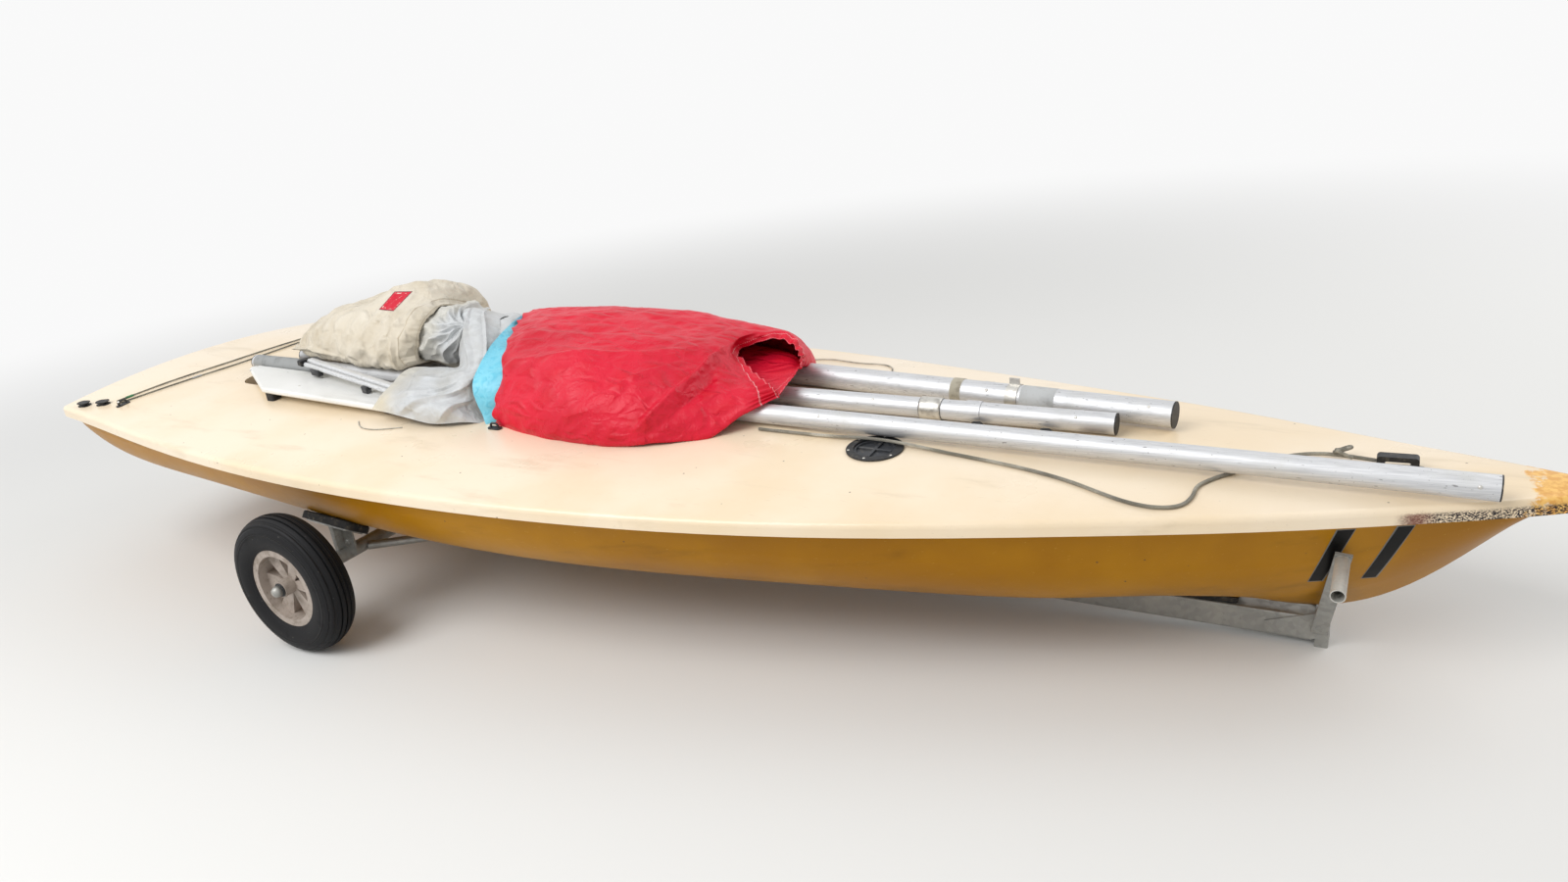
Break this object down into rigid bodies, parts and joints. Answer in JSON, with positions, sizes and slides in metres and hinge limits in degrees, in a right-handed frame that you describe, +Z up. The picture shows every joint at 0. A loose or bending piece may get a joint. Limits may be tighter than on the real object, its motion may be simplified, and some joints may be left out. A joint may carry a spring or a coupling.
{
  "type": "sailing dinghy on a launching trolley",
  "caption": "Single-handed sailing dinghy, derigged on its wheeled launching trolley, with spars, rudder blade, tiller, bagged sail and a nylon foil bag lying on deck.",
  "frame": {"origin": "on the ground, midway along the hull and midway between the wheels", "axes": "+X towards the bow, +Y to port, +Z up"},
  "size_m": [4.245, 1.6006, 0.8105],
  "materials": {
    "hull_yellow": "glossy moulded laminate, mustard yellow, scuffed at the bow",
    "deck_cream": "glossy moulded laminate, cream, lightly stained",
    "alloy": "dull anodised, lightly scratched",
    "black_plastic": "moulded, satin",
    "grey_plastic": "moulded, satin",
    "foil_white": "white laminate, satin, worn grey at the tip",
    "stainless": "satin stainless steel",
    "black_metal": "black coated metal",
    "red_nylon": "thin red nylon, creased, seams stitched white",
    "canvas": "cream canvas, soft, plain red patch",
    "sailcloth": "crumpled white sailcloth with a cyan panel",
    "rope_grey": "braided rope, weathered grey",
    "rope_pale": "thin braided cord, off-white",
    "galvanised": "hot galvanised steel, dull and stained",
    "pad_rubber": "black rubber, matt",
    "tyre": "black tyre rubber, dusty",
    "rim_plastic": "weathered pinkish-grey plastic"
  },
  "bodies": {
    "boat_and_trolley": {"axle": "galvanised", "bag_cord_end": "rope_pale", "bag_cord_loop": "rope_pale", "blade_chock": "black_plastic", "boom": "alloy", "boom_eye_strap": "black_plastic", "boom_plugs": "black_plastic", "bow_arms": "galvanised", "bow_fairlead": "black_plastic", "bow_line": "rope_grey", "cradle_brackets": "galvanised", "cradle_pads": "pad_rubber", "daggerboard_case": "deck_cream", "deck": "deck_cream", "deck_cleat_eyes": "black_plastic", "diagonal_braces": "galvanised", "drain_plug": "black_plastic", "foil_bag": "red_nylon", "front_post": "galvanised", "hull": "hull_yellow", "inspection_port_lid": "grey_plastic", "inspection_port_ring": "black_plastic", "keel_pad": "pad_rubber", "lower_mast": "alloy", "lower_mast_plugs": "black_plastic", "mast_step": "deck_cream", "mast_tang": "stainless", "push_grips": "galvanised", "rudder_blade": "foil_white", "rudder_gudgeons": "stainless", "rudder_head": "black_metal", "rudder_pintles": "stainless", "sail": "sailcloth", "sail_bag": "canvas", "sail_string": "rope_pale", "strap_eye": "black_plastic", "tiller": "alloy", "tiller_extension": "alloy", "tiller_joint": "black_plastic", "traveller_blocks": "black_plastic", "traveller_fairleads": "black_plastic", "traveller_line": "rope_grey", "trolley_beam": "galvanised", "upper_mast": "alloy", "upper_mast_plugs": "black_plastic"},
    "wheel_starboard": {"tyre_starboard": "tyre", "rim_starboard": "rim_plastic"},
    "wheel_port": {"tyre_port": "tyre", "rim_port": "rim_plastic"}
  },
  "joints": [
    {"name": "wheel_starboard_spin", "type": "hinge", "parent": "boat_and_trolley", "child": "wheel_starboard", "pos_m": [-0.775, -0.741, 0.2], "axis": [0, 1, 0], "continuous": true},
    {"name": "wheel_port_spin", "type": "hinge", "parent": "boat_and_trolley", "child": "wheel_port", "pos_m": [-0.775, 0.741, 0.2], "axis": [0, 1, 0], "continuous": true}
  ]
}
